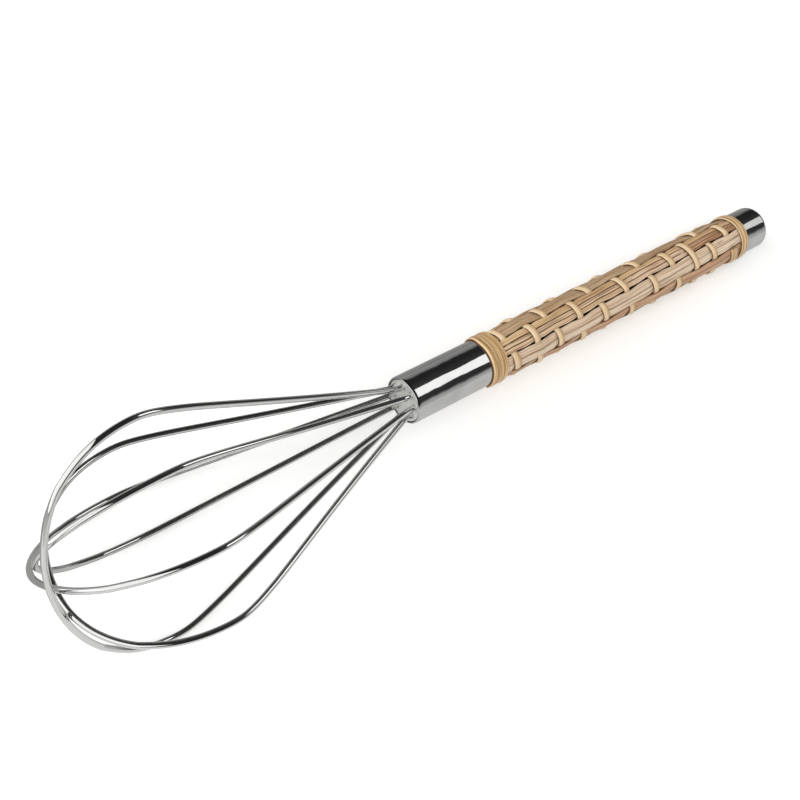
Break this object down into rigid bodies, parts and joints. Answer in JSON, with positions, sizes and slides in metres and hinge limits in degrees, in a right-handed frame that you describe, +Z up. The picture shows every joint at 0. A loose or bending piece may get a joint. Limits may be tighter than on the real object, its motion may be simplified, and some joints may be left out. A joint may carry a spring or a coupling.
{
  "type": "balloon whisk",
  "caption": "Balloon whisk with springy steel wire loops set in a polished tube handle, gripped by woven rattan splints and cane bindings.",
  "frame": {"origin": "centre of the bottom of the whole whisk as it lies on a table", "axes": "+X along the whisk towards the wire head, +Z up from the table it lies on"},
  "size_m": [0.2972, 0.068, 0.0718],
  "materials": {
    "polished_steel": "mirror polished stainless steel",
    "satin_steel": "satin stainless steel",
    "spring_wire": "bright drawn stainless spring wire",
    "resin": "cast resin",
    "rattan_splint": "split rattan, satin, pale tan with darker edges",
    "cane_weaver": "peeled cane, satin, pale",
    "cane_binding": "glossy cane with its golden skin"
  },
  "bodies": {
    "root": {"handle_tube": "polished_steel", "tail_cap": "polished_steel", "wire_plate": "satin_steel", "wire_core": "resin", "wire_loop_1": "spring_wire", "wire_loop_2": "spring_wire", "wire_loop_3": "spring_wire", "wire_loop_4": "spring_wire", "splint_1a": "rattan_splint", "splint_1b": "rattan_splint", "splint_2a": "rattan_splint", "splint_2b": "rattan_splint", "splint_3a": "rattan_splint", "splint_3b": "rattan_splint", "splint_4a": "rattan_splint", "splint_4b": "rattan_splint", "splint_5a": "rattan_splint", "splint_5b": "rattan_splint", "splint_6a": "rattan_splint", "splint_6b": "rattan_splint", "splint_7a": "rattan_splint", "splint_7b": "rattan_splint", "splint_8a": "rattan_splint", "splint_8b": "rattan_splint", "splint_9a": "rattan_splint", "splint_9b": "rattan_splint", "weaver": "cane_weaver", "head_binding": "cane_binding", "tail_binding": "cane_binding"}
  },
  "joints": []
}
